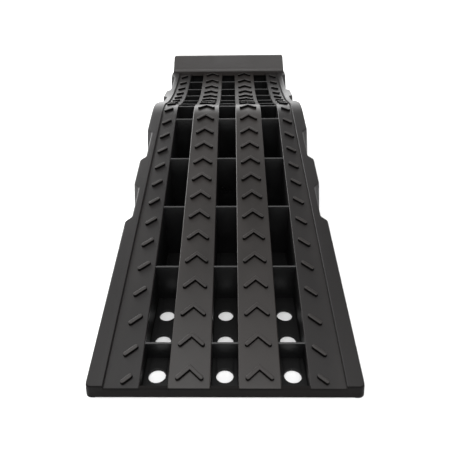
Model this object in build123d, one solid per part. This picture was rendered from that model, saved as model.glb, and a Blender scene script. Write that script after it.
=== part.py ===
"""Wheel levelling ramp for a caravan or motorhome.

The ramp is one injection moulding of black polypropylene. It is described here by its
members: deck strips, channel floors, upright walls, cross ribs, side walls, rails, grip
bars and the end stop. Each member is a solid of its own, and neighbours meet face to face.

X is across the ramp, Y runs from the toe up to the end stop, and Z is up. The origin is on
the ground, under the middle of the ramp. A "station" is a distance measured from the toe.
"""
from build123d import *
import os
from math import asin, atan2, cos, degrees, radians, sin, sqrt, tan

# Overall sizes, in millimetres and degrees
LENGTH = 575.0
BASE_WIDTH = 200.0
SIDE_DRAFT = 5.5            # lean of each side wall from upright

# Deck line, seen from the side
TOE_HEIGHT = 9.0            # height of the deck at the toe
RAMP_ANGLE = 15.5
CREST_RADIUS = 80.0
CRADLE_RADIUS = 450.0
CRADLE_STATION = 484.0      # lowest point of the wheel cradle
CRADLE_HEIGHT = 82.0

# Wall thicknesses
DECK = 3.0
WALL = 3.0                  # side walls, rear wall and end stop
WEB = 2.5                   # upright walls beside the channels
RIB = 1.5
FLOOR = 2.5
LIP = 2.5                   # front wall at the toe

# Strips and channels, across the deck
CENTRE_CHANNEL = 20.0       # width of the middle channel
CENTRE_TREAD = 30.5         # width of each centre tread
SIDE_CHANNEL = 20.0         # width of each side channel
CORNER_ROUND = 4.0          # upright corners at both ends of the ramp

# Side rails and the recesses in the side walls
RAIL_WIDTH = 12.8
RAIL_RISE = 2.5             # height of the rails above the treads
RECESS_DEPTH = 5.6
RECESSES = [(154, 204), (240, 292), (388, 441), (475, 546)]    # stations, start and end

# Cross ribs
FIRST_RIB = 35.2
RIB_PITCH = 70.2
WIDE_BAYS = 4               # bays of a whole pitch; the bays after them are half a pitch
RIB_DROP = 0.5              # the rib tops lie this far below the treads in the channels

# Drain holes in the channel floors
HOLE_DIAMETER = 13.0
HOLE_SETBACK = 17.5         # from the toe, or from a rib, to the row behind it
SECOND_ROW = 29.5           # the first whole bay has a second row, this far behind its first

# Grip bars
GRIP_PITCH = 26.45          # along the deck
GRIP_COUNT = 22
FIRST_TIP = 15.9            # distance along the deck of the first chevron's tip
GRIP_HEIGHT = 2.5
GRIP_WIDTH = 3.2
CHEVRON_SPAN = 20.4
CHEVRON_LEAN = 43.0         # angle of a chevron's arms from straight across
SLASH_LEAN = 40.0           # angle of a slash from straight across
SLASH_FROM_CHANNEL = 4.5    # from the edge of the side channel to a slash's inner end
SLASH_FROM_RAIL = 2.0       # from a slash's outer end to the rail, where the tread is narrowest
FIRST_SLASH = 7.0           # distance along the deck of the middle of the short first slash
SHORT_SLASH = 8.2           # width across of the first slash on each side

# End stop
STOP_DEPTH = 17.0           # from the foot of the stop to the rear face
STOP_HEIGHT = 26.0          # above the end of the cradle
STOP_RISER = 4.5            # upright step at the foot of the stop
STOP_BEVEL = 4.5            # sloping band above the step
STOP_INSET = 1.5            # the stop stands in this far from each side wall
STOP_LEAN = 18.0            # angle of the stop's face from upright

STOP_STATION = LENGTH - STOP_DEPTH
REAR_STATION = LENGTH - WALL
HALF_BASE = BASE_WIDTH / 2
LEAN = tan(radians(SIDE_DRAFT))
CHANNEL_EDGES = [
    CENTRE_CHANNEL / 2,
    CENTRE_CHANNEL / 2 + CENTRE_TREAD,
    CENTRE_CHANNEL / 2 + CENTRE_TREAD + SIDE_CHANNEL,
]
HALF_RIGHT_ANGLE = 45       # slant of the recess ends and of the stop's band
RIGHT = 1
LEFT = -1
SIDES = {"left": LEFT, "right": RIGHT}
REACH = 1.2 * HALF_BASE     # half width of the cutting shapes, past both sides
SKY = 2 * CRADLE_HEIGHT     # height of the cutting shapes, above the whole ramp

# Circle centres and tangent points of the deck line, as (station, height)
ramp = radians(RAMP_ANGLE)
cradle_centre = Vector(CRADLE_STATION, CRADLE_HEIGHT + CRADLE_RADIUS)
ramp_along = Vector(cos(ramp), sin(ramp))
ramp_normal = Vector(-sin(ramp), cos(ramp))
ramp_base = Vector(0, TOE_HEIGHT) - ramp_normal * CREST_RADIUS
to_cradle = cradle_centre - ramp_base
both_radii = CREST_RADIUS + CRADLE_RADIUS
ramp_run = to_cradle.dot(ramp_along) - sqrt(both_radii**2 - to_cradle.dot(ramp_normal) ** 2)
crest_centre = ramp_base + ramp_along * ramp_run
crest_start = Vector(0, TOE_HEIGHT) + ramp_along * ramp_run
crest_end = crest_centre + (cradle_centre - crest_centre) * (CREST_RADIUS / both_radii)
fall = asin((cradle_centre.X - crest_end.X) / CRADLE_RADIUS)
crest_run = CREST_RADIUS * (ramp + fall)
stop_foot = cradle_centre.Y - sqrt(CRADLE_RADIUS**2 - (STOP_STATION - CRADLE_STATION) ** 2)
STOP_TOP = stop_foot + STOP_HEIGHT


def at(station, height):
    """A point of the side view."""
    return (station - LENGTH / 2, height)


def deck_line(level):
    """The deck line moved up by level, flat from the foot of the stop to the rear."""
    crest_top = at(crest_centre.X, crest_centre.Y + CREST_RADIUS + level)
    start = at(crest_start.X, crest_start.Y + level)
    middle = at(crest_end.X, crest_end.Y + level)
    foot = at(STOP_STATION, stop_foot + level)
    line = Line(at(0, TOE_HEIGHT + level), start)
    line += ThreePointArc(start, crest_top, middle)
    line += ThreePointArc(middle, at(CRADLE_STATION, CRADLE_HEIGHT + level), foot)
    line += Line(foot, at(LENGTH, stop_foot + level))
    return line


def across(outline, x0, x1):
    """A closed side view outline, extruded across the ramp from x0 to x1."""
    face = make_face(Plane.YZ.offset(x0) * outline)
    return extrude(face, amount=x1 - x0, dir=(1, 0, 0))


def under_deck(level, x0=-REACH, x1=REACH):
    """Everything from the ground up to the deck line moved up by level."""
    start = at(0, TOE_HEIGHT + level)
    end = at(LENGTH, stop_foot + level)
    outline = deck_line(level) + Polyline(end, at(LENGTH, 0), at(0, 0), start)
    return across(outline, x0, x1)


def box_between(x0, x1, s0, s1, z0, z1):
    """A box given by its limits across, along (as stations) and up."""
    corner = Pos(x0, s0 - LENGTH / 2, z0)
    return corner * Box(x1 - x0, s1 - s0, z1 - z0, align=(Align.MIN, Align.MIN, Align.MIN))


def station_of(distance):
    """The station of a point that lies this distance along the deck from the toe."""
    if distance <= ramp_run:
        return distance * cos(ramp)
    if distance <= ramp_run + crest_run:
        angle = ramp - (distance - ramp_run) / CREST_RADIUS
        return crest_centre.X - CREST_RADIUS * sin(angle)
    angle = (distance - ramp_run - crest_run) / CRADLE_RADIUS - fall
    return cradle_centre.X + CRADLE_RADIUS * sin(angle)


def side_outline(inset):
    """The right side wall's plan line at ground level, moved in by inset."""
    corner_shift = inset * tan(radians(HALF_RIGHT_ANGLE / 2))
    outside = HALF_BASE - inset
    inside = outside - RECESS_DEPTH
    points = [(outside, -LENGTH / 2)]
    for start, end in RECESSES:
        first = start - LENGTH / 2 - corner_shift
        last = end - LENGTH / 2 + corner_shift
        points.append((outside, first))
        points.append((inside, first + RECESS_DEPTH))
        points.append((inside, last - RECESS_DEPTH))
        points.append((outside, last))
    points.append((outside, LENGTH / 2))
    return points


def leaning(plan, side):
    """A right-hand plan face raised along the draft of the side walls."""
    solid = extrude(plan, amount=SKY * sqrt(1 + LEAN**2), dir=(-LEAN, 0, 1))
    return solid if side == RIGHT else mirror(solid, about=Plane.YZ)


def plan_between(inner, outer):
    """The plan region between two lines that run from the toe to the rear."""
    return make_face(Polyline(*outer, *reversed(inner), close=True))


def straight(x):
    """A straight plan line at a fixed distance from the middle."""
    return [(x, -LENGTH / 2), (x, LENGTH / 2)]


def rounded_half_plan():
    """Half of the ramp's plan with its two outer corners rounded."""
    plan = plan_between(straight(0), straight(HALF_BASE))
    corners = [v for v in plan.vertices() if v.X > HALF_BASE / 2]
    return fillet(corners, CORNER_ROUND)


ENVELOPE = leaning(rounded_half_plan(), RIGHT) + leaning(rounded_half_plan(), LEFT)
RAIL_INNER = HALF_BASE - RAIL_WIDTH
BELOW_DECK = under_deck(-DECK)
DECK_BAND = under_deck(0) - BELOW_DECK
RAIL_BAND = under_deck(RAIL_RISE) - BELOW_DECK
GRIP_BAND = under_deck(GRIP_HEIGHT) - under_deck(0)
AHEAD_OF_STOP = box_between(-REACH, REACH, 0, STOP_STATION, 0, SKY)
AHEAD_OF_REAR = box_between(-REACH, REACH, 0, REAR_STATION, 0, SKY)


def between_sides(inset):
    """The space between the two leaning side planes, each moved in by inset."""
    plan = plan_between(straight(0), straight(HALF_BASE - inset))
    return leaning(plan, RIGHT) + leaning(plan, LEFT)


def inside_walls():
    """The space between the inner faces of the two side walls."""
    plan = plan_between(straight(0), side_outline(WALL))
    return leaning(plan, RIGHT) + leaning(plan, LEFT)


INTERIOR = inside_walls()


def rib_stations():
    """Middles of the cross ribs: whole bays up the ramp, then half bays in the cradle."""
    stations = [FIRST_RIB + RIB_PITCH * i for i in range(WIDE_BAYS + 1)]
    while stations[-1] + RIB_PITCH / 2 < STOP_STATION - RIB_PITCH / 4:
        stations.append(stations[-1] + RIB_PITCH / 2)
    return stations


def hole_stations():
    """Rows of drain holes: one behind the toe and behind each rib, two in the first bay."""
    rows = [start + HOLE_SETBACK for start in [0, *rib_stations()]]
    return [*rows, rows[1] + SECOND_ROW]


def side_wall(side):
    """Drafted side wall with its recesses, from the ground to the underside of the rail."""
    plan = plan_between(side_outline(WALL), side_outline(0))
    return leaning(plan, side) & BELOW_DECK & ENVELOPE & AHEAD_OF_REAR


def side_rail(side):
    """Raised band along the side, as deep as the deck and standing above the treads."""
    plan = plan_between(straight(RAIL_INNER), side_outline(0))
    return leaning(plan, side) & RAIL_BAND & ENVELOPE & AHEAD_OF_STOP


def centre_tread(side):
    """Deck strip between the middle channel and a side channel."""
    strip = DECK_BAND & AHEAD_OF_STOP & box_between(
        CHANNEL_EDGES[0], CHANNEL_EDGES[1], 0, LENGTH, 0, SKY
    )
    return strip if side == RIGHT else mirror(strip, about=Plane.YZ)


def outer_tread(side):
    """Deck strip between a side channel and the rail, whose inner face leans with the side."""
    beside_rail = leaning(plan_between(straight(0), straight(RAIL_INNER)), RIGHT)
    outside_channel = box_between(CHANNEL_EDGES[2], REACH, 0, LENGTH, 0, SKY)
    strip = DECK_BAND & AHEAD_OF_STOP & beside_rail & outside_channel
    return strip if side == RIGHT else mirror(strip, about=Plane.YZ)


def web_spans():
    """Limits across of the three right-hand webs, each under the edge of a tread."""
    inner = (CHANNEL_EDGES[0], CHANNEL_EDGES[0] + WEB)
    middle = (CHANNEL_EDGES[1] - WEB, CHANNEL_EDGES[1])
    outer = (CHANNEL_EDGES[2], CHANNEL_EDGES[2] + WEB)
    return {"inner": inner, "middle": middle, "outer": outer}


def deck_height(station):
    """Height of the deck line at a station."""
    if station <= crest_start.X:
        return TOE_HEIGHT + station * tan(ramp)
    if station <= crest_end.X:
        return crest_centre.Y + sqrt(CREST_RADIUS**2 - (station - crest_centre.X) ** 2)
    station = min(station, STOP_STATION)
    return cradle_centre.Y - sqrt(CRADLE_RADIUS**2 - (station - cradle_centre.X) ** 2)


def rib_box(station, x0, x1, z0, z1):
    """A box one rib thick at a rib's station."""
    return box_between(x0, x1, station - RIB / 2, station + RIB / 2, z0, z1)


def web(span, side):
    """Upright wall from the ground to the deck, slotted from above where ribs cross it."""
    plate = under_deck(-DECK, *span) & box_between(*span, LIP, REAR_STATION, 0, SKY)
    for station in rib_stations():
        plate -= rib_box(station, *span, deck_height(station) / 2, SKY)
    return plate if side == RIGHT else mirror(plate, about=Plane.YZ)


def channel_spans():
    """Limits across of the three channels."""
    first, second, third = CHANNEL_EDGES
    return {"left": (-third, -second), "centre": (-first, first), "right": (second, third)}


def cross_rib(station):
    """Rib across the whole ramp, slotted from below where it crosses the webs."""
    low = rib_box(station, -REACH, REACH, 0, SKY)
    rib = low & INTERIOR & BELOW_DECK
    for x0, x1 in channel_spans().values():
        rib += rib_box(station, x0, x1, FLOOR, SKY) & under_deck(-RIB_DROP, x0, x1)
        rib -= rib_box(station, x0, x1, 0, FLOOR)
    for x0, x1 in web_spans().values():
        rib -= rib_box(station, x0, x1, 0, deck_height(station) / 2)
        rib -= rib_box(station, -x1, -x0, 0, deck_height(station) / 2)
    return rib


def channel_floor(span):
    """Floor plate of a channel with its row of drain holes."""
    floor = box_between(*span, LIP, REAR_STATION, 0, FLOOR)
    middle = (span[0] + span[1]) / 2
    for station in hole_stations():
        hole = Cylinder(HOLE_DIAMETER / 2, 2 * FLOOR)
        floor -= Pos(middle, station - LENGTH / 2, FLOOR / 2) * hole
    return floor


def front_lip():
    """Thin wall across the toe, level with the treads where it closes the channels."""
    lip = box_between(-REACH, REACH, 0, LIP, 0, SKY) & INTERIOR & BELOW_DECK
    for x0, x1 in channel_spans().values():
        lip += box_between(x0, x1, 0, LIP, 0, SKY) & under_deck(0, x0, x1)
    return lip


def stop_outline(inset, bottom):
    """Side view of the end stop, moved in by inset, down to the given height."""
    riser_top = stop_foot + STOP_RISER
    bevel_top = riser_top + STOP_BEVEL
    face_foot = STOP_STATION + STOP_BEVEL
    face_run = tan(radians(STOP_LEAN))
    turn = radians((HALF_RIGHT_ANGLE - STOP_LEAN) / 2)
    shift = inset * cos(radians((HALF_RIGHT_ANGLE + STOP_LEAN) / 2)) / cos(turn)
    rise = -inset * sin(radians((HALF_RIGHT_ANGLE + STOP_LEAN) / 2)) / cos(turn)
    foot = (face_foot + shift, bevel_top + rise)
    top = STOP_TOP - inset
    face_top = foot[0] + (top - foot[1]) * face_run
    points = [
        at(STOP_STATION + inset, bottom),
        at(STOP_STATION + inset, riser_top - inset * tan(radians(HALF_RIGHT_ANGLE / 2))),
        at(*foot),
    ]
    if face_top < REAR_STATION:
        points += [at(face_top, top), at(REAR_STATION, top)]
    else:
        points.append(at(REAR_STATION, foot[1] + (REAR_STATION - foot[0]) / face_run))
    points.append(at(REAR_STATION, bottom))
    return Polyline(*points, close=True)


def end_stop():
    """Upturned stop for the wheel, hollow from below."""
    bottom = stop_foot - DECK
    block = across(stop_outline(0, bottom), -REACH, REACH) & between_sides(STOP_INSET)
    core = across(stop_outline(WALL, bottom - 1), -REACH, REACH)
    return block - (core & between_sides(STOP_INSET + WALL))


def rear_wall():
    """Upright wall that closes the rear, from the ground to the top of the stop."""
    deck = stop_foot - DECK
    lower = box_between(-REACH, REACH, REAR_STATION, LENGTH, 0, deck) & ENVELOPE
    upper = box_between(-REACH, REACH, REAR_STATION, LENGTH, deck, STOP_TOP)
    return lower + (upper & between_sides(STOP_INSET) & ENVELOPE)


def stop_gusset(span):
    """Small plate above a web that stiffens the end stop."""
    bottom = stop_foot - DECK
    return across(stop_outline(WALL, bottom), *span)


def bar(points):
    """Grip bar along a plan path, with rounded ends."""
    shape = Sketch()
    for start, end in zip(points, points[1:]):
        run = Vector(*end) - Vector(*start)
        middle = (Vector(*start) + Vector(*end)) * 0.5
        turn = Rot(0, 0, degrees(atan2(run.Y, run.X)))
        shape += Pos(middle.X, middle.Y) * turn * SlotCenterToCenter(run.length, GRIP_WIDTH)
    return shape


def grip_solids(paths):
    """Bars that stand on the deck, one solid for each plan path."""
    solids = []
    for path in paths:
        raised = extrude(bar(path), amount=SKY) & GRIP_BAND & AHEAD_OF_STOP
        solids += list(raised.solids())
    return solids


def chevrons(x):
    """V bars on a centre tread, tips towards the end stop."""
    reach = (CHEVRON_SPAN - GRIP_WIDTH) / 2
    drop = reach * tan(radians(CHEVRON_LEAN))
    paths = []
    for i in range(GRIP_COUNT):
        distance = FIRST_TIP + GRIP_PITCH * i
        tip = station_of(distance) - LENGTH / 2
        tail = station_of(distance - drop) - LENGTH / 2
        paths.append([(x - reach, tail), (x, tip), (x + reach, tail)])
    return grip_solids(paths)


def slashes(side):
    """Slanting bars on an outer tread, inner ends towards the end stop, the first one short."""
    rail_foot = RAIL_INNER - LEAN * (crest_centre.Y + CREST_RADIUS)
    inner = CHANNEL_EDGES[2] + SLASH_FROM_CHANNEL
    outer = rail_foot - SLASH_FROM_RAIL
    middle = side * (inner + outer) / 2
    bars = [(FIRST_SLASH, SHORT_SLASH)]
    for i in range(GRIP_COUNT - 1):
        bars.append((FIRST_TIP + GRIP_PITCH * (i + 0.5), outer - inner))
    paths = []
    for distance, width in bars:
        reach = (width - GRIP_WIDTH) / 2
        rise = reach * tan(radians(SLASH_LEAN))
        high = station_of(distance + rise) - LENGTH / 2
        low = station_of(distance - rise) - LENGTH / 2
        paths.append([(middle - side * reach, high), (middle + side * reach, low)])
    return grip_solids(paths)


def members():
    """Every member of the moulding by name."""
    found = {"front_lip": front_lip(), "end_stop": end_stop(), "rear_wall": rear_wall()}
    tread_middle = (CHANNEL_EDGES[0] + CHANNEL_EDGES[1]) / 2
    for name, side in SIDES.items():
        found[f"{name}_side_wall"] = side_wall(side)
        found[f"{name}_side_rail"] = side_rail(side)
        found[f"{name}_centre_tread"] = centre_tread(side)
        found[f"{name}_outer_tread"] = outer_tread(side)
        found[f"{name}_centre_chevrons"] = Compound(chevrons(side * tread_middle))
        found[f"{name}_outer_slashes"] = Compound(slashes(side))
        for place, span in web_spans().items():
            found[f"{name}_{place}_web"] = web(span, side)
    for name, span in channel_spans().items():
        found[f"{name}_channel_floor"] = channel_floor(span)
    for number, station in enumerate(rib_stations(), start=1):
        found[f"cross_rib_{number:02d}"] = cross_rib(station)
    gussets = []
    for x0, x1 in web_spans().values():
        gussets.append(stop_gusset((x0, x1)))
        gussets.append(stop_gusset((-x1, -x0)))
    found["stop_gussets"] = Compound(gussets)
    return found


os.makedirs("parts", exist_ok=True)
for node, shape in members().items():
    export_step(shape, f"parts/{node}.step")
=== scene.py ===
"""Looks of a wheel levelling ramp for a caravan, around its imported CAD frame.

The ramp is one injection moulding of black polypropylene. Its members are finished here with
the rounded edges that a mould gives them: strips and rails lofted along the deck, grip bars
wrapped onto it, perforated channel floors, ribs, the toe and the end stop.
"""
from math import atan, ceil, cos, pi, radians, sin, sqrt, tan

import bmesh
import bpy
from mathutils import Matrix, Vector


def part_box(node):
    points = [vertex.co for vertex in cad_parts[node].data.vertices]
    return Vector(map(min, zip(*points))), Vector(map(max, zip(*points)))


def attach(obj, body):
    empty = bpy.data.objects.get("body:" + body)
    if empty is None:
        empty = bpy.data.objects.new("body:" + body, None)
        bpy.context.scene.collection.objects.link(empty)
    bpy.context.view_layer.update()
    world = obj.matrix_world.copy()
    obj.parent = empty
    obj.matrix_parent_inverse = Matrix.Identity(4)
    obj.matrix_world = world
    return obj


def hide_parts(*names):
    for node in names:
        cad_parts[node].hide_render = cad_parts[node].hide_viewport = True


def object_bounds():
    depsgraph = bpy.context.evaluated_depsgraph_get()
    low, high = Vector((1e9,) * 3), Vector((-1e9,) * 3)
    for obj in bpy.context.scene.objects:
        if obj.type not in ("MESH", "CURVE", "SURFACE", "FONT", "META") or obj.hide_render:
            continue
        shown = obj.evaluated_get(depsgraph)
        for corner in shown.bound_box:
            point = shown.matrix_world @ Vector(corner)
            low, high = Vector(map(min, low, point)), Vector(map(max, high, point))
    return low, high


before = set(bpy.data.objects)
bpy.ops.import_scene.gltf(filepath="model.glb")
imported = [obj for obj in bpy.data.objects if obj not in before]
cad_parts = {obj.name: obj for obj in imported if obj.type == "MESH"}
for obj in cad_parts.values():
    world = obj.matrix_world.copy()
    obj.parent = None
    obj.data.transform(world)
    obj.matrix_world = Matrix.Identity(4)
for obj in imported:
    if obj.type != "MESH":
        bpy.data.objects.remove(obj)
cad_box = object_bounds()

MM = 0.001

# The deck line and the layout across it, in millimetres, as the CAD has them
TOE_HEIGHT = 9.0
RAMP_ANGLE = radians(15.5)
CREST_RADIUS = 80.0
CRADLE_RADIUS = 450.0
CRADLE_STATION = 484.0
CRADLE_HEIGHT = 82.0
DECK = 3.0
WALL = 3.0
LIP = 2.5
STOP_DEPTH = 17.0
STOP_INSET = 1.5
LEAN = tan(radians(5.5))
CHANNEL_EDGES = [10.0, 40.5, 60.5]
RAIL_WIDTH = 12.8
RAIL_RISE = 2.5
CORNER_ROUND = 4.0
RECESS_DEPTH = 5.6
RECESSES = [(154, 204), (240, 292), (388, 441), (475, 546)]
HOLE_DIAMETER = 13.0
HOLE_SETBACK = 17.5
SECOND_ROW = 29.5
GRIP_PITCH = 26.45
GRIP_COUNT = 22
FIRST_TIP = 15.9
GRIP_HEIGHT = 2.5
GRIP_WIDTH = 3.2
CHEVRON_SPAN = 20.4
CHEVRON_LEAN = radians(43)
SLASH_LEAN = radians(40)
SLASH_FROM_CHANNEL = 4.5
SLASH_FROM_RAIL = 2.0
FIRST_SLASH = 7.0
SHORT_SLASH = 8.2

# Rounded edges of the moulding, in millimetres
STRIP_ROUND = 0.9
RAIL_ROUND = 1.5
NOSE_ROUND = 1.0
RECESS_ROUND = 1.6
STOP_ROUND = 1.4
STOP_CORNER = 3.2           # top corners of the stop, seen from the toe
RIB_ROUND = 0.5
HOLE_ROUND = 0.5
FOOT_IN = 0.4               # the small bevel where the walls meet the ground
FOOT_UP = 0.5
THINNEST_WALL = 0.5         # least wall left where a recess or a corner turns in

# Stations of a loft, in millimetres: even steps, and close ones where an edge turns
EVEN_STEP = 4.0
NOSE_STATIONS = [0.15, 0.35, 0.6, NOSE_ROUND]
END_STATIONS = [*NOSE_STATIONS, 1.6, 2.4, 3.2, 4.0]
RECESS_LEAD = 3.0
RECESS_STEP = 0.75
RECESS_COUNT = 16

# Section of a grip bar: how far each level reaches past the bar's half width, and its height
BAR_LEVELS = [
    (0.15, -0.5),
    (0.1, 0.1),
    (0.0, 0.3),
    (-0.05, GRIP_HEIGHT - 0.55),
    (-0.15, GRIP_HEIGHT - 0.22),
    (-0.38, GRIP_HEIGHT - 0.05),
    (-0.75, GRIP_HEIGHT),
]
BAR_END_STEPS = 6
PATH_LEAD = 30.0            # how far the deck path runs on before the toe, in stations
PATH_STEPS = 400
HOLE_SIDES = 48

# Angles between faces that decide what is flat, what is rounded and what stays crisp
FLAT_JOIN = radians(0.5)
OUTER_EDGE = radians(25)
WORN_EDGE = radians(35)
CRISP_EDGE = radians(40)
HOLE_RIM = radians(60)

# Distances below which points count as one, in millimetres
SEAM = 0.002
CUT_SEAM = 0.0001
PLATE_SEAM = 0.01

# How edges and faces are picked: by a part of their direction, or by millimetres around a place
ALONG_AXIS = 0.9
FACING_END = 0.5
FACING_TOE = 0.45
UPRIGHT_FACE = 0.5
RIB_TOP_MARGIN = 0.5
STOP_FOOT_MARGIN = 2.0
REAR_MARGIN = 0.1
CORNER_MARGIN = 1.0

low, high = (Vector(corner) / MM for corner in cad_box)
LENGTH = high.y - low.y
HALF_BASE = high.x
STOP_STATION = LENGTH - STOP_DEPTH
REAR_STATION = LENGTH - WALL
REAR_FACE = REAR_STATION - LENGTH / 2       # where the stop meets the rear wall
RAIL_INNER = HALF_BASE - RAIL_WIDTH
SIDES = {"left": -1, "right": 1}


def tangent_points():
    """Centre and ends of the crest arc, which joins the slope to the cradle."""
    along = Vector((cos(RAMP_ANGLE), sin(RAMP_ANGLE)))
    normal = Vector((-sin(RAMP_ANGLE), cos(RAMP_ANGLE)))
    cradle = Vector((CRADLE_STATION, CRADLE_HEIGHT + CRADLE_RADIUS))
    base = Vector((0, TOE_HEIGHT)) - normal * CREST_RADIUS
    reach = cradle - base
    radii = CREST_RADIUS + CRADLE_RADIUS
    run = reach.dot(along) - sqrt(radii**2 - reach.dot(normal) ** 2)
    centre = base + along * run
    start = Vector((0, TOE_HEIGHT)) + along * run
    end = centre + (cradle - centre) * (CREST_RADIUS / radii)
    return centre, start, end


CREST, CREST_START, CREST_END = tangent_points()


def deck_height(station):
    """Height of the deck at a station, level behind the foot of the stop."""
    if station <= CREST_START.x:
        return TOE_HEIGHT + station * tan(RAMP_ANGLE)
    if station <= CREST_END.x:
        return CREST.y + sqrt(CREST_RADIUS**2 - (station - CREST.x) ** 2)
    run = min(station, STOP_STATION) - CRADLE_STATION
    return CRADLE_HEIGHT + CRADLE_RADIUS - sqrt(CRADLE_RADIUS**2 - run**2)


def place(x, station, height):
    """A point of the ramp in the frame, from millimetres."""
    return Vector((x * MM, (station - LENGTH / 2) * MM, height * MM))


def corner_drop(distance, radius):
    """How far a rounded edge falls below its sharp corner, at a distance from the end."""
    if distance >= radius:
        return 0.0
    return radius - sqrt(radius**2 - (radius - distance) ** 2)


def soft_step(value, limit, reach):
    """Value held between zero and the limit, with a corner rounded over reach at each end."""
    if value > limit / 2:
        return limit - soft_step(limit - value, limit, reach)
    if value > reach:
        return value
    return (value + reach) ** 2 / (4 * reach) if value > -reach else 0.0


def side_x(station, inset=0.0):
    """Half width at the ground of a side face moved in by inset, with its recesses."""
    depth = 0.0
    shift = inset * tan(pi / 8)
    for start, end in RECESSES:
        inward = min(station - start + shift, end + shift - station)
        if inward > -RECESS_ROUND:
            depth = max(depth, soft_step(inward, RECESS_DEPTH, RECESS_ROUND))
    from_end = min(station, LENGTH - station)
    return HALF_BASE - inset - depth - corner_drop(from_end, CORNER_ROUND)


def stations_between(first, last):
    """Stations for a loft: even steps, and close ones at the rounded corners."""
    count = ceil((last - first) / EVEN_STEP)
    found = {first + (last - first) * i / count for i in range(count + 1)}
    for start, end in RECESSES:
        for corner in (start, end - RECESS_DEPTH):
            close = [corner - RECESS_LEAD + RECESS_STEP * i for i in range(RECESS_COUNT)]
            found |= {s for s in close if first < s < last}
    for reach in END_STATIONS:
        found |= {s for s in (reach, LENGTH - reach) if first < s < last}
    return sorted(found)


def corner_arc(x, z, radius, start, steps=4):
    """Points of a quarter round that ends a flat, turning clockwise from an angle."""
    turns = [start - pi / 2 * i / steps for i in range(steps + 1)]
    return [(x + radius * cos(a), z + radius * sin(a)) for a in turns]


# Meshes

def loft(sections):
    """A closed shell through sections of equal count, with flat ends."""
    shell = bmesh.new()
    rings = [[shell.verts.new(point) for point in section] for section in sections]
    for ring, after in zip(rings, rings[1:]):
        for i, corner in enumerate(ring):
            j = (i + 1) % len(ring)
            shell.faces.new((corner, ring[j], after[j], after[i]))
    shell.faces.new(rings[0])
    shell.faces.new(rings[-1])
    bmesh.ops.recalc_face_normals(shell, faces=shell.faces)
    return shell


def as_mesh(name, shell):
    """A mesh from a bmesh shell, which is freed."""
    mesh = bpy.data.meshes.new(name)
    shell.to_mesh(mesh)
    shell.free()
    return mesh


def merged_copy(node):
    """A CAD node's mesh as a bmesh shell with whole flat faces."""
    shell = bmesh.new()
    shell.from_mesh(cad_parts[node].data)
    bmesh.ops.remove_doubles(shell, verts=shell.verts, dist=SEAM * MM)
    bmesh.ops.dissolve_limit(
        shell, angle_limit=FLAT_JOIN, verts=shell.verts, edges=shell.edges
    )
    return shell


def soften(shell, radius, steps, chosen):
    """Rounds the outer edges of a shell that are chosen by middle and direction."""
    edges = []
    for edge in shell.edges:
        middle = (edge.verts[0].co + edge.verts[1].co) / 2
        run = edge.verts[1].co - edge.verts[0].co
        if edge.is_manifold and edge.calc_face_angle_signed() > OUTER_EDGE:
            if chosen(middle / MM, run.normalized()):
                edges.append(edge)
    bmesh.ops.bevel(
        shell,
        geom=edges,
        offset=radius * MM,
        segments=steps,
        profile=0.5,
        affect="EDGES",
        clamp_overlap=False,
    )
    return shell


def cut_off(shell, point, normal):
    """Cuts a shell along a plane, drops the side that the normal points to, and closes it."""
    cut = bmesh.ops.bisect_plane(
        shell,
        geom=list(shell.verts) + list(shell.edges) + list(shell.faces),
        dist=CUT_SEAM * MM,
        plane_co=point,
        plane_no=normal,
        clear_outer=True,
    )
    rim = [item for item in cut["geom_cut"] if isinstance(item, bmesh.types.BMEdge)]
    bmesh.ops.holes_fill(shell, edges=rim)


def keep_inside(shell, node):
    """Moves any point that a bevel pushed out of a CAD node's box back to it."""
    low_corner, high_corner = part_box(node)
    for vert in shell.verts:
        for axis in range(3):
            vert.co[axis] = min(max(vert.co[axis], low_corner[axis]), high_corner[axis])
    return shell


def round_top_corners(shell, side_at_ground, top, radius, steps=4):
    """Rounds the two top corners of a shell whose sides lean in with the draft."""
    draft = atan(LEAN)
    height = top - radius
    centre_x = side_at_ground - LEAN * height - radius / cos(draft)
    for side in SIDES.values():
        for i in range(steps):
            turn = (pi / 2 - draft) * (i + 0.5) / steps
            normal = Vector((side * sin(turn), 0, cos(turn)))
            tangent = Vector((side * centre_x, 0, height)) + normal * radius
            cut_off(shell, tangent * MM, normal)
    return shell


def mark_edges(mesh):
    """Stores how sharply the surface turns at each point, as the attribute edge_turn."""
    shell = bmesh.new()
    shell.from_mesh(mesh)
    turns = []
    for vert in shell.verts:
        angles = [e.calc_face_angle_signed() for e in vert.link_edges if e.is_manifold]
        turns.append(min(1.0, max(angles, default=0.0) / WORN_EDGE))
    shell.free()
    attribute = mesh.attributes.new("edge_turn", "FLOAT", "POINT")
    attribute.data.foreach_set("value", [max(0.0, turn) for turn in turns])


def finished(name, mesh, material, nodes):
    """A piece of the ramp that stands for CAD nodes, with smooth faces and crisp edges."""
    mesh.shade_smooth()
    mesh.set_sharp_from_angle(angle=CRISP_EDGE)
    if material is not None:
        mesh.materials.clear()
        mesh.materials.append(material)
    rough = bpy.data.objects.new(name, mesh)
    bpy.context.scene.collection.objects.link(rough)
    weights = rough.modifiers.new("flat faces stay flat", "WEIGHTED_NORMAL")
    weights.keep_sharp = True
    final = bpy.data.meshes.new_from_object(
        rough.evaluated_get(bpy.context.evaluated_depsgraph_get())
    )
    rough.modifiers.clear()
    rough.data = final
    final.name = name
    mark_edges(final)
    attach(rough, "root")
    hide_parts(*nodes)
    return rough


def second_finish(part, material, chosen):
    """Gives a second finish to the faces of a piece that are chosen by middle and normal."""
    part.data.materials.append(material)
    for face in part.data.polygons:
        if chosen(face.center / MM, face.normal):
            face.material_index = 1


def piece(name, shell, material, *nodes):
    """A finished piece from a bmesh shell."""
    return finished(name, as_mesh(name, shell), material, nodes)


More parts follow.
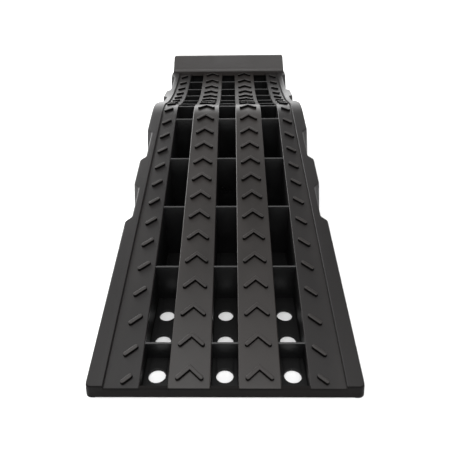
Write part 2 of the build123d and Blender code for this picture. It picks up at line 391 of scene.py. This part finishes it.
def recoat(node, material):
    """Gives a CAD node that keeps its own mesh a better material."""
    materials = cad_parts[node].data.materials
    materials.clear()
    materials.append(material)


# Node trees

def add(tree, kind, inputs, **settings):
    """Adds a node with its settings, and sets or links its inputs."""
    node = tree.nodes.new(kind)
    for name, value in settings.items():
        setattr(node, name, value)
    for key, value in inputs.items():
        if isinstance(value, bpy.types.NodeSocket):
            tree.links.new(value, node.inputs[key])
        else:
            node.inputs[key].default_value = value
    return node


def linear(code):
    """Linear colour of an sRGB hex value."""
    channels = [int(code[i : i + 2], 16) / 255 for i in (1, 3, 5)]
    flat = [c / 12.92 if c <= 0.04045 else ((c + 0.055) / 1.055) ** 2.4 for c in channels]
    return (*flat, 1.0)


def new_tree(name, inputs):
    """A geometry tree with named inputs, and its group input node."""
    tree = bpy.data.node_groups.new(name, "GeometryNodeTree")
    tree.interface.new_socket("Geometry", in_out="INPUT", socket_type="NodeSocketGeometry")
    for label, kind in inputs.items():
        tree.interface.new_socket(label, in_out="INPUT", socket_type="NodeSocket" + kind)
    tree.interface.new_socket("Geometry", in_out="OUTPUT", socket_type="NodeSocketGeometry")
    return tree, tree.nodes.new("NodeGroupInput").outputs


def end_tree(tree, geometry, finish):
    """Ends a tree in Realize Instances and Set Material."""
    solid = add(tree, "GeometryNodeRealizeInstances", {"Geometry": geometry})
    painted = add(
        tree, "GeometryNodeSetMaterial", {"Geometry": solid.outputs[0], "Material": finish}
    )
    add(tree, "NodeGroupOutput", {0: painted.outputs[0]})


def grown(name, mesh, tree, values, after=None):
    """The plain mesh that a tree makes from a mesh with these input values."""
    seed = bpy.data.objects.new(name, mesh)
    bpy.context.scene.collection.objects.link(seed)
    modifier = seed.modifiers.new(tree.name, "NODES")
    modifier.node_group = tree
    for socket in tree.interface.items_tree:
        if socket.in_out == "INPUT" and socket.name in values:
            modifier[socket.identifier] = values[socket.name]
    if after is not None:
        after(seed)
    result = bpy.data.meshes.new_from_object(
        seed.evaluated_get(bpy.context.evaluated_depsgraph_get())
    )
    bpy.data.objects.remove(seed)
    result.name = name
    return result


# Materials

MIX_A, MIX_B, MIX_RESULT = 6, 7, 2      # colour sockets of the Mix node, by number
CLOUD_STRETCH = 0.4                     # scale along the ramp, against 1 across it
GLOSS_RANGE = (-0.05, 0.07)             # how the clouds move the roughness
GRAIN_IN_GLOSS = 0.08
PITS_IN_GRAIN = 0.5
PITS_PER_GRAIN = 0.6


def moulded_polypropylene(name, colours, roughness, sheen, grain_mm, grain_depth, flow_mm):
    """Injection-moulded black polypropylene with a spark-eroded texture.

    It gives the eye a charcoal satin: a fine grain that breaks up highlights, broad cloudy
    changes of gloss where the melt flowed, and edges rubbed a little paler.
    """
    material = bpy.data.materials.new(name)
    material.use_nodes = True
    tree = material.node_tree
    tree.nodes.clear()
    at = add(tree, "ShaderNodeTexCoord", {}).outputs["Object"]
    # the melt runs lengthwise from the gate, so the clouds are drawn out along the ramp
    stretched = add(
        tree,
        "ShaderNodeMapping",
        {"Vector": at, "Scale": (1.0, CLOUD_STRETCH, 1.0)},
    )
    flow = add(
        tree,
        "ShaderNodeTexNoise",
        {"Vector": stretched.outputs[0], "Scale": 1 / (flow_mm * MM), "Detail": 3.0},
    ).outputs["Fac"]
    # spark texture is about 0.1 mm; it is drawn coarser here so that it shows
    grain = add(
        tree,
        "ShaderNodeTexNoise",
        {"Vector": at, "Scale": 1 / (grain_mm * MM), "Detail": 2.0, "Roughness": 0.6},
    ).outputs["Fac"]
    pits = add(
        tree,
        "ShaderNodeTexVoronoi",
        {"Vector": at, "Scale": PITS_PER_GRAIN / (grain_mm * MM)},
        feature="SMOOTH_F1",
    ).outputs["Distance"]
    # edges are rubbed paler in patches, where the clouds are dense
    turn = add(tree, "ShaderNodeAttribute", {}, attribute_name="edge_turn").outputs["Fac"]
    patchy = add(tree, "ShaderNodeMath", {0: turn, 1: flow}, operation="MULTIPLY").outputs[0]
    rubbed = add(
        tree,
        "ShaderNodeMapRange",
        {"Value": patchy, "From Min": 0.28, "From Max": 0.55, "To Max": 0.7},
    ).outputs[0]
    clouded = add(
        tree,
        "ShaderNodeMapRange",
        {"Value": flow, "From Min": 0.3, "From Max": 0.7, "To Max": 0.35},
    ).outputs[0]
    blend = add(
        tree, "ShaderNodeMath", {0: rubbed, 1: clouded}, operation="MAXIMUM"
    ).outputs[0]
    tint = add(
        tree,
        "ShaderNodeMix",
        {"Factor": blend, MIX_A: linear(colours[0]), MIX_B: linear(colours[1])},
        data_type="RGBA",
    ).outputs[MIX_RESULT]
    satin = add(
        tree,
        "ShaderNodeMapRange",
        {
            "Value": flow,
            "From Min": 0.3,
            "From Max": 0.7,
            "To Min": roughness + GLOSS_RANGE[0],
            "To Max": roughness + GLOSS_RANGE[1],
        },
    ).outputs[0]
    speck = add(
        tree,
        "ShaderNodeMath",
        {0: grain, 1: GRAIN_IN_GLOSS, 2: satin},
        operation="MULTIPLY_ADD",
    ).outputs[0]
    texture = add(
        tree,
        "ShaderNodeMath",
        {0: pits, 1: PITS_IN_GRAIN, 2: grain},
        operation="MULTIPLY_ADD",
    ).outputs[0]
    bump = add(
        tree,
        "ShaderNodeBump",
        {"Height": texture, "Strength": 0.6, "Distance": grain_depth * MM},
    ).outputs[0]
    surface = add(
        tree,
        "ShaderNodeBsdfPrincipled",
        {
            "Base Color": tint,
            "Roughness": speck,
            "Normal": bump,
            "IOR": 1.49,
            "Specular IOR Level": sheen,
        },
    )
    add(tree, "ShaderNodeOutputMaterial", {"Surface": surface.outputs[0]})
    return material


def seamless_paper():
    """Matte white background paper: flat and bright, with barely any tooth."""
    material = bpy.data.materials.new("matte_white_paper")
    material.use_nodes = True
    tree = material.node_tree
    surface = tree.nodes["Principled BSDF"]
    surface.inputs["Base Color"].default_value = linear("#fafafa")
    surface.inputs["Specular IOR Level"].default_value = 0.2
    surface.inputs["Roughness"].default_value = 0.9
    at = add(tree, "ShaderNodeTexCoord", {}).outputs["Object"]
    tooth = add(tree, "ShaderNodeTexNoise", {"Vector": at, "Scale": 900.0})
    bump = add(
        tree,
        "ShaderNodeBump",
        {"Height": tooth.outputs["Fac"], "Strength": 0.1, "Distance": 0.05 * MM},
    )
    tree.links.new(bump.outputs[0], surface.inputs["Normal"])
    return material


# warm charcoal satin: the light of the window runs along the strips and shows their bars
TREAD_FINISH = moulded_polypropylene(
    "spark_textured_polypropylene_treads",
    ("#151210", "#272220"),
    roughness=0.3,
    sheen=0.31,
    grain_mm=0.7,
    grain_depth=0.03,
    flow_mm=38,
)
# the same texture painted darker and flatter than the middle strips, a painted shade
OUTER_SHADE_FINISH = moulded_polypropylene(
    "spark_textured_polypropylene_rails",
    ("#110f0f", "#201e1d"),
    roughness=0.34,
    sheen=0.22,
    grain_mm=0.7,
    grain_depth=0.03,
    flow_mm=45,
)
# even dark grey walls, painted darker than the strips as shade, with broad clouds and only a soft
# highlight
WALL_SHADE_FINISH = moulded_polypropylene(
    "spark_textured_polypropylene_walls",
    ("#0f0e0e", "#1c1b1b"),
    roughness=0.36,
    sheen=0.26,
    grain_mm=0.9,
    grain_depth=0.03,
    flow_mm=60,
)
# a coarse toe painted nearly black as shade, which throws no highlight back at the viewer
TOE_SHADE_FINISH = moulded_polypropylene(
    "coarse_shaded_polypropylene_toe",
    ("#090808", "#141211"),
    roughness=0.5,
    sheen=0.06,
    grain_mm=0.9,
    grain_depth=0.05,
    flow_mm=45,
)
# flanks painted dull black as shade, which draw each grip bar as a dark line on its strip
BAR_SIDE_SHADE_FINISH = moulded_polypropylene(
    "shaded_polypropylene_bar_sides",
    ("#040404", "#090808"),
    roughness=0.6,
    sheen=0.04,
    grain_mm=0.7,
    grain_depth=0.02,
    flow_mm=30,
)
# smooth deep black in the channels, a painted shade under the level of the strips
CHANNEL_SHADE_FINISH = moulded_polypropylene(
    "shaded_polypropylene_channels",
    ("#070707", "#101011"),
    roughness=0.5,
    sheen=0.2,
    grain_mm=1.4,
    grain_depth=0.015,
    flow_mm=30,
)
# glossy ribs, painted deep black as shade in the channels, whose rounded tops show as thin bright
# lines across the channels
RIB_SHADE_FINISH = moulded_polypropylene(
    "shaded_polypropylene_ribs",
    ("#060606", "#101011"),
    roughness=0.28,
    sheen=0.5,
    grain_mm=1.4,
    grain_depth=0.01,
    flow_mm=30,
)
# the palest satin of the ramp, a painted light on the face that looks up at the lamps
STOP_LIT_FINISH = moulded_polypropylene(
    "spark_textured_polypropylene_stop",
    ("#1c1816", "#2b2624"),
    roughness=0.36,
    sheen=0.5,
    grain_mm=0.7,
    grain_depth=0.03,
    flow_mm=45,
)


# Strips and rails along the deck

def strip_section(station, inner, outer, lean, rise, rounds):
    """Section of a strip: flat under, with its two top corners rounded."""
    base = deck_height(station)
    top = base + rise - corner_drop(station, NOSE_ROUND)
    under = base - DECK
    inner_round, outer_round = rounds
    x_in = inner - lean * top
    x_out = outer - lean * top
    points = [(inner - lean * under, under)]
    points += corner_arc(x_in + inner_round, top - inner_round, inner_round, pi)
    points += corner_arc(x_out - outer_round, top - outer_round, outer_round, pi / 2)
    points.append((outer - lean * under, under))
    return points


def mirrored(points, side, station):
    """Section points placed on one side of the ramp."""
    return [place(side * x, station, z) for x, z in points]


def centre_tread(side):
    """Deck strip between the middle channel and a side channel."""
    inner, outer = CHANNEL_EDGES[:2]
    rounds = (STRIP_ROUND, STRIP_ROUND)
    return loft(
        mirrored(strip_section(s, inner, outer, 0, 0, rounds), side, s)
        for s in stations_between(0, STOP_STATION)
    )


def outer_tread(side):
    """Deck strip between a side channel and the foot of the rail."""
    sections = []
    for station in stations_between(0, STOP_STATION):
        base = deck_height(station)
        top = base - corner_drop(station, NOSE_ROUND)
        channel = CHANNEL_EDGES[2]
        points = [(channel, base - DECK)]
        points += corner_arc(channel + STRIP_ROUND, top - STRIP_ROUND, STRIP_ROUND, pi)
        points.append((RAIL_INNER - LEAN * top, top))
        points.append((RAIL_INNER - LEAN * (base - DECK), base - DECK))
        sections.append(mirrored(points, side, station))
    return loft(sections)


def side_rail(side):
    """Raised band along the side, with the recesses in its outer edge."""
    rounds = (STRIP_ROUND, RAIL_ROUND)
    return loft(
        mirrored(strip_section(s, RAIL_INNER, side_x(s), LEAN, RAIL_RISE, rounds), side, s)
        for s in stations_between(0, STOP_STATION)
    )


def wall_inner_x(station):
    """Inner face of a side wall at the ground."""
    return min(side_x(station, WALL), side_x(station) - THINNEST_WALL)


def side_wall(side):
    """Drafted wall from the ground to the underside of the rail."""
    sections = []
    for station in stations_between(0, REAR_STATION):
        top = deck_height(station) - DECK
        outer, inner = side_x(station), wall_inner_x(station)
        points = [(inner, 0), (inner - LEAN * top, top), (outer - LEAN * top, top)]
        points += [(outer - LEAN * FOOT_UP, FOOT_UP), (outer - FOOT_IN, 0)]
        sections.append(mirrored(points, side, station))
    return loft(sections)


def front_lip():
    """Thin wall across the toe, as high as the treads where it closes the channels."""
    sections = []
    for station in (0, *NOSE_STATIONS, LIP):
        under = deck_height(station) - DECK
        top = deck_height(station) - corner_drop(station, NOSE_ROUND)
        foot = FOOT_IN - min(station, FOOT_IN)
        wall = wall_inner_x(station)
        first, second, third = CHANNEL_EDGES
        half = [(first, top), (first, under), (second, under), (second, top)]
        half += [(third, top), (third, under), (wall - LEAN * under, under), (wall, foot)]
        points = half + [(-x, z) for x, z in reversed(half)]
        sections.append(mirrored(points, 1, station))
    return loft(sections)


# Grip bars

def bar_outline(path, reach):
    """Closed outline at a distance from a plan path, with round ends and mitred bends."""
    runs = [(b - a).normalized() for a, b in zip(path, path[1:])]
    left, right = [], []
    for i, point in enumerate(path[1:-1]):
        before, after = runs[i], runs[i + 1]
        bisector = (before + after).normalized()
        across = Vector((-bisector.y, bisector.x)) * (reach / bisector.dot(before))
        left.append(point + across)
        right.append(point - across)
    ends = []
    for point, run in ((path[-1], runs[-1]), (path[0], -runs[0])):
        normal = Vector((-run.y, run.x))
        turns = [pi / 2 - pi * i / BAR_END_STEPS for i in range(BAR_END_STEPS + 1)]
        ends.append([point + (run * cos(a) + normal * sin(a)) * reach for a in turns])
    return left + ends[0] + right[::-1] + ends[1]


def bar_mesh(path):
    """A grip bar lying flat: upright sides, a rounded shoulder and a nearly flat top."""
    sections = []
    for spread, height in BAR_LEVELS:
        outline = bar_outline(path, GRIP_WIDTH / 2 + spread)
        sections.append([(p.x * MM, p.y * MM, height * MM) for p in outline])
    return as_mesh("grip bar", loft(sections))


def deck_path():
    """The middle line of the deck as a curve, which the grip bars are wrapped onto."""
    curve = bpy.data.curves.new("deck path", "CURVE")
    curve.dimensions = "3D"
    spline = curve.splines.new("POLY")
    spline.points.add(PATH_STEPS)
    for i in range(PATH_STEPS + 1):
        station = -PATH_LEAD + (STOP_STATION + PATH_LEAD) * i / PATH_STEPS
        spline.points[i].co = (*place(0, station, deck_height(station)), 1)
    path = bpy.data.objects.new("deck path", curve)
    bpy.context.scene.collection.objects.link(path)
    return path


def grip_tree():
    """Repeats a flat bar at an even pitch and wraps the row onto the deck."""
    tree, given = new_tree(
        "grip bars on the deck",
        {
            "Deck path": "Object",
            "Count": "Int",
            "Pitch": "Float",
            "First": "Float",
            "Middle": "Float",
            "Finish": "Material",
        },
    )
    start = add(tree, "ShaderNodeCombineXYZ", {"X": given["Middle"], "Y": given["First"]})
    step = add(tree, "ShaderNodeCombineXYZ", {"Y": given["Pitch"]})
    row = add(
        tree,
        "GeometryNodeMeshLine",
        {"Count": given["Count"], "Start Location": start.outputs[0], "Offset": step.outputs[0]},
        mode="OFFSET",
    )
    spread = add(
        tree,
        "GeometryNodeInstanceOnPoints",
        {"Points": row.outputs[0], "Instance": given["Geometry"]},
    )
    flat = add(tree, "GeometryNodeRealizeInstances", {"Geometry": spread.outputs[0]})
    here = add(
        tree,
        "ShaderNodeSeparateXYZ",
        {"Vector": add(tree, "GeometryNodeInputPosition", {}).outputs[0]},
    ).outputs
    path = add(tree, "GeometryNodeObjectInfo", {"Object": given["Deck path"]})
    sample = add(
        tree,
        "GeometryNodeSampleCurve",
        {"Curves": path.outputs["Geometry"], "Length": here["Y"]},
        mode="LENGTH",
    )
    tangent = add(
        tree, "ShaderNodeSeparateXYZ", {"Vector": sample.outputs["Tangent"]}
    ).outputs
    backwards = add(
        tree, "ShaderNodeMath", {0: tangent["Z"], 1: -1.0}, operation="MULTIPLY"
    )
    normal = add(
        tree, "ShaderNodeCombineXYZ", {"Y": backwards.outputs[0], "Z": tangent["Y"]}
    )
    raised = add(
        tree,
        "ShaderNodeVectorMath",
        {0: normal.outputs[0], "Scale": here["Z"]},
        operation="SCALE",
    )
    across = add(tree, "ShaderNodeCombineXYZ", {"X": here["X"]})
    lifted = add(
        tree,
        "ShaderNodeVectorMath",
        {0: raised.outputs[0], 1: across.outputs[0]},
        operation="ADD",
    )
    landed = add(
        tree,
        "ShaderNodeVectorMath",
        {0: lifted.outputs[0], 1: sample.outputs["Position"]},
        operation="ADD",
    )
    wrapped = add(
        tree,
        "GeometryNodeSetPosition",
        {"Geometry": flat.outputs[0], "Position": landed.outputs[0]},
    )
    end_tree(tree, wrapped.outputs[0], given["Finish"])
    return tree


def is_bar_side(middle, normal):
    """Whether a face stands up from the deck, rather than lying along it."""
    station = middle.y + LENGTH / 2
    # the deck's slope, from its rise over the millimetre around the face
    rise = deck_height(station + 0.5) - deck_height(station - 0.5)
    return normal.dot(Vector((0, -rise, 1)).normalized()) < UPRIGHT_FACE


def grip_bars(name, tree, path, middle, rows, node):
    """One strip's grip bars as a finished piece, from rows of outline, first and count."""
    lead = PATH_LEAD / cos(RAMP_ANGLE)
    shell = bmesh.new()
    for outline, first, count in rows:
        values = {
            "Deck path": path,
            "Count": count,
            "Pitch": GRIP_PITCH * MM,
            "First": (lead + first) * MM,
            "Middle": middle * MM,
            "Finish": TREAD_FINISH,
        }
        shell.from_mesh(grown(name, bar_mesh(outline), tree, values))
    cut_off(shell, place(0, STOP_STATION, 0), Vector((0, 1, 0)))
    bars = piece(name, shell, TREAD_FINISH, node)
    # the upright sides of the bars get painted shade
    second_finish(bars, BAR_SIDE_SHADE_FINISH, is_bar_side)


# Channel floors

def floor_tree():
    """A plate with a row of round holes, one at each point of its input."""
    tree, given = new_tree(
        "perforated channel floor",
        {
            "Width": "Float",
            "Length": "Float",
            "Centre": "Vector",
            "Thickness": "Float",
            "Hole diameter": "Float",
            "Finish": "Material",
        },
    )
    plate = add(
        tree,
        "GeometryNodeCurvePrimitiveQuadrilateral",
        {"Width": given["Width"], "Height": given["Length"]},
    )
    placed = add(
        tree,
        "GeometryNodeTransform",
        {"Geometry": plate.outputs[0], "Translation": given["Centre"]},
    )
    radius = add(
        tree, "ShaderNodeMath", {0: given["Hole diameter"], 1: 0.5}, operation="MULTIPLY"
    )
    ring = add(
        tree,
        "GeometryNodeCurvePrimitiveCircle",
        {"Resolution": HOLE_SIDES, "Radius": radius.outputs[0]},
    )
    rings = add(
        tree,
        "GeometryNodeInstanceOnPoints",
        {"Points": given["Geometry"], "Instance": ring.outputs[0]},
    )
    outlines = add(tree, "GeometryNodeJoinGeometry", {})
    tree.links.new(placed.outputs[0], outlines.inputs[0])
    tree.links.new(rings.outputs[0], outlines.inputs[0])
    curves = add(tree, "GeometryNodeRealizeInstances", {"Geometry": outlines.outputs[0]})
    sheet = add(tree, "GeometryNodeFillCurve", {0: curves.outputs[0]})
    up = add(tree, "ShaderNodeCombineXYZ", {"Z": given["Thickness"]})
    thick = add(
        tree,
        "GeometryNodeExtrudeMesh",
        {"Mesh": sheet.outputs[0], "Offset": up.outputs[0], "Individual": False},
        mode="FACES",
    )
    under = add(tree, "GeometryNodeFlipFaces", {"Mesh": sheet.outputs[0]})
    closed = add(tree, "GeometryNodeJoinGeometry", {})
    tree.links.new(thick.outputs[0], closed.inputs[0])
    tree.links.new(under.outputs[0], closed.inputs[0])
    welded = add(
        tree,
        "GeometryNodeMergeByDistance",
        {"Geometry": closed.outputs[0], "Distance": PLATE_SEAM * MM},
    )
    end_tree(tree, welded.outputs[0], given["Finish"])
    return tree


def rib_stations():
    """Middles of the cross ribs, as the CAD spaces them."""
    count = sum(name.startswith("cross_rib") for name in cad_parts)
    boxes = [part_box(f"cross_rib_{number:02d}") for number in range(1, count + 1)]
    return [(a.y + b.y) / 2 / MM + LENGTH / 2 for a, b in boxes]


def hole_stations():
    """Rows of drain holes: one behind the toe and behind each rib, two in the first bay."""
    rows = [start + HOLE_SETBACK for start in [0, *rib_stations()]]
    return [*rows, rows[1] + SECOND_ROW]


def channel_floor(name, tree):
    """Floor of one channel, with softly rounded hole rims and the channels' painted shade."""
    node = f"{name}_channel_floor"
    start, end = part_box(node)
    middle = (start + end) / 2
    points = [place(middle.x / MM, station, 0) for station in hole_stations()]
    seed = bpy.data.meshes.new(node)
    seed.from_pydata(points, [], [])

    def round_rims(plate):
        bevel = plate.modifiers.new("rounded rims", "BEVEL")
        bevel.width = HOLE_ROUND * MM
        bevel.segments = 3
        bevel.limit_method = "ANGLE"
        bevel.angle_limit = HOLE_RIM

    mesh = grown(
        node + "_plate",
        seed,
        tree,
        {
            "Width": end.x - start.x,
            "Length": end.y - start.y,
            "Centre": (middle.x, middle.y, 0.0),
            "Thickness": end.z - start.z,
            "Hole diameter": HOLE_DIAMETER * MM,
            "Finish": CHANNEL_SHADE_FINISH,
        },
        after=round_rims,
    )
    shell = bmesh.new()
    shell.from_mesh(mesh)
    bmesh.ops.recalc_face_normals(shell, faces=shell.faces)
    shell.to_mesh(mesh)
    shell.free()
    return finished(node + "_plate", mesh, None, [node])


# Cross ribs, end stop and rear wall

def rounded_rib(node, station):
    """A cross rib with softly rounded edges where its top shows in the channels."""
    channel_top = deck_height(station) - DECK + RIB_TOP_MARGIN

    def is_rib_top(middle, run):
        return middle.z > channel_top and abs(run.x) > ALONG_AXIS

    rib = soften(merged_copy(node), RIB_ROUND, steps=3, chosen=is_rib_top)
    piece(f"{node}_rounded", rib, RIB_SHADE_FINISH, node)


def is_stop_edge(middle, run):
    """Whether an edge is on the front of the stop, above its foot."""
    in_front = middle.y < REAR_FACE - REAR_MARGIN
    return in_front and middle.z > deck_height(STOP_STATION) - STOP_FOOT_MARGIN


def is_rear_edge(middle, run):
    """Whether an edge is at the top of the rear wall's back face."""
    behind = middle.y > REAR_FACE + REAR_MARGIN
    return behind and middle.z > high.z - STOP_CORNER - CORNER_MARGIN


def rounded_stop(name, node, material, chosen):
    """The stop or the rear wall with round top corners and the chosen edges softened."""
    shell = round_top_corners(merged_copy(node), HALF_BASE - STOP_INSET, high.z, STOP_CORNER)
    soften(shell, STOP_ROUND, steps=4, chosen=chosen)
    return piece(name, keep_inside(shell, node), material, node)


def is_inner_side(middle, normal):
    """Whether a face of the rear wall looks into the ramp, where it closes the channels and takes
    their painted shade.
    """
    return normal.y < -FACING_END


def is_toe_front(middle, normal):
    """Whether a face looks forward at the toe, where the ramp is more coarsely textured and
    painted darker as shade.
    """
    return normal.y < -FACING_TOE and middle.y + LENGTH / 2 < CORNER_ROUND


# Bars of the two strips

def chevron_path():
    """Middle line of a chevron, with its tip towards the stop."""
    reach = (CHEVRON_SPAN - GRIP_WIDTH) / 2
    drop = reach * tan(CHEVRON_LEAN)
    return [Vector((-reach, -drop)), Vector((0, 0)), Vector((reach, -drop))]


def slash_path(width, side):
    """Middle line of a slash of this width across, with its inner end towards the stop."""
    half_run = (width - GRIP_WIDTH) / 2
    half = Vector((-side * half_run, half_run * tan(SLASH_LEAN)))
    return [-half, half]


# Build the ramp

bar_tree, plate_tree, path = grip_tree(), floor_tree(), deck_path()
tread_middle = (CHANNEL_EDGES[0] + CHANNEL_EDGES[1]) / 2
slash_inner = CHANNEL_EDGES[2] + SLASH_FROM_CHANNEL
slash_outer = RAIL_INNER - LEAN * (CREST.y + CREST_RADIUS) - SLASH_FROM_RAIL
slash_middle = (slash_inner + slash_outer) / 2

for name, side in SIDES.items():
    members = [
        piece(f"{name}_centre_strip", centre_tread(side), TREAD_FINISH, f"{name}_centre_tread"),
        piece(f"{name}_outer_strip", outer_tread(side), OUTER_SHADE_FINISH, f"{name}_outer_tread"),
        piece(f"{name}_raised_rail", side_rail(side), OUTER_SHADE_FINISH, f"{name}_side_rail"),
        piece(f"{name}_drafted_wall", side_wall(side), WALL_SHADE_FINISH, f"{name}_side_wall"),
    ]
    # their faces that look forward at the toe get painted shade
    for member in members:
        second_finish(member, TOE_SHADE_FINISH, is_toe_front)
    chevrons = [(chevron_path(), FIRST_TIP, GRIP_COUNT)]
    node = f"{name}_centre_chevrons"
    grip_bars(f"{name}_chevron_bars", bar_tree, path, side * tread_middle, chevrons, node)
    short = slash_path(SHORT_SLASH, side)
    full = slash_path(slash_outer - slash_inner, side)
    slashes = [(short, FIRST_SLASH, 1), (full, FIRST_TIP + GRIP_PITCH / 2, GRIP_COUNT - 1)]
    node = f"{name}_outer_slashes"
    grip_bars(f"{name}_slash_bars", bar_tree, path, side * slash_middle, slashes, node)
    # the webs in the channels get the channels' painted shade
    for web in ("inner", "middle", "outer"):
        recoat(f"{name}_{web}_web", CHANNEL_SHADE_FINISH)

bpy.data.objects.remove(path)
# the stop gussets get the channels' painted shade
recoat("stop_gussets", CHANNEL_SHADE_FINISH)
# the toe lip is painted with the toe's shade
piece("toe_lip", front_lip(), TOE_SHADE_FINISH, "front_lip")

for name in ("left", "centre", "right"):
    channel_floor(name, plate_tree)

for number, station in enumerate(rib_stations(), start=1):
    rounded_rib(f"cross_rib_{number:02d}", station)

rounded_stop("upturned_stop", "end_stop", STOP_LIT_FINISH, is_stop_edge)
back = rounded_stop("closing_rear_wall", "rear_wall", WALL_SHADE_FINISH, is_rear_edge)
# the rear wall's face towards the ramp gets the channels' painted shade
second_finish(back, CHANNEL_SHADE_FINISH, is_inner_side)


# Floor, light and camera

FLOOR_REACH = 6.0
AIM = Vector((0, 0, 0.05))          # the point that every lamp looks at

# Position, width, depth and radiance of each lamp
LAMPS = {
    "window_left": ((-1.7, 0.5, 0.9), 1.4, 1.0, 2.5),
    "window_behind_left": ((-1.12, 1.25, 1.0), 1.2, 0.9, 9.0),
    "softbox_above_viewer": ((0.1, -1.6, 1.05), 1.6, 0.8, 3.4),
    "softbox_overhead": ((-0.1, -0.25, 1.7), 1.3, 0.8, 3.2),
}

# How bright the room is from the viewer's side (-1) to the far side (1): from, to, low, high
ROOM = (-0.9, 0.1, 0.6, 1.25)
DIMMER = (0.15, 0.5, 0.0, -0.55)
BACKDROP = (0.7, 0.98, 0.0, 2.6)

EYE = Vector((0.0064, -0.5037, 0.2801))
PITCH = radians(32.065)             # how far the camera looks down
YAW = radians(-1.008)
ROLL = radians(-0.744)
SENSOR = 36.0
FOCAL_WIDTHS = 465 / 452            # focal length, in widths of the picture


def paper_floor():
    """White paper that the ramp stands on."""
    shell = bmesh.new()
    bmesh.ops.create_grid(shell, x_segments=8, y_segments=8, size=FLOOR_REACH)
    mesh = as_mesh("studio_floor", shell)
    mesh.materials.append(seamless_paper())
    floor = bpy.data.objects.new("studio_floor", mesh)
    bpy.context.scene.collection.objects.link(floor)


def soft_lamps():
    """Two windows at the left and two softboxes overhead, all aimed at the ramp."""
    for name, (position, width, depth, radiance) in LAMPS.items():
        lamp = bpy.data.lights.new(name, "AREA")
        lamp.shape = "RECTANGLE"
        lamp.size = width
        lamp.size_y = depth
        lamp.energy = radiance * pi * width * depth
        holder = bpy.data.objects.new(name, lamp)
        holder.location = position
        aim = AIM - Vector(position)
        holder.rotation_euler = aim.to_track_quat("-Z", "Y").to_euler()
        bpy.context.scene.collection.objects.link(holder)


def graded(tree, value, stops):
    """A node output that runs between two levels as a value runs between two others."""
    start, end, level, final = stops
    given = {"Value": value, "From Min": start, "From Max": end, "To Min": level, "To Max": final}
    return add(tree, "ShaderNodeMapRange", given).outputs[0]


def white_room():
    """A white room, with a bright backdrop behind the ramp and a dimmer viewer's side."""
    world = bpy.data.worlds.new("white room")
    bpy.context.scene.world = world
    world.use_nodes = True
    tree = world.node_tree
    toward = add(
        tree,
        "ShaderNodeSeparateXYZ",
        {"Vector": add(tree, "ShaderNodeTexCoord", {}).outputs["Generated"]},
    ).outputs["Y"]
    room, backdrop, dimmer = (graded(tree, toward, stops) for stops in (ROOM, BACKDROP, DIMMER))
    walls = add(tree, "ShaderNodeMath", {0: room, 1: backdrop}, operation="ADD").outputs[0]
    strength = add(tree, "ShaderNodeMath", {0: walls, 1: dimmer}, operation="ADD")
    background = tree.nodes["Background"]
    background.inputs["Color"].default_value = linear("#ffffff")
    tree.links.new(strength.outputs[0], background.inputs["Strength"])


def camera():
    """Camera in front of the toe, looking down along the ramp."""
    level = Vector((cos(YAW), -sin(YAW), 0))
    ahead = Vector((sin(YAW), cos(YAW), 0))
    upright = Vector((0, 0, 1))
    look = ahead * cos(PITCH) - upright * sin(PITCH)
    top = ahead * sin(PITCH) + upright * cos(PITCH)
    right = level * cos(ROLL) + top * sin(ROLL)
    up = top * cos(ROLL) - level * sin(ROLL)
    turn = Matrix((right, up, -look)).transposed().to_4x4()
    lens = bpy.data.cameras.new("camera")
    lens.sensor_width = SENSOR
    lens.lens = FOCAL_WIDTHS * SENSOR
    lens.clip_start = 0.01
    viewer = bpy.data.objects.new("camera", lens)
    viewer.matrix_world = Matrix.Translation(EYE) @ turn
    bpy.context.scene.collection.objects.link(viewer)
    bpy.context.scene.camera = viewer


paper_floor()
soft_lamps()
white_room()
camera()
bpy.context.scene.view_settings.view_transform = "Standard"
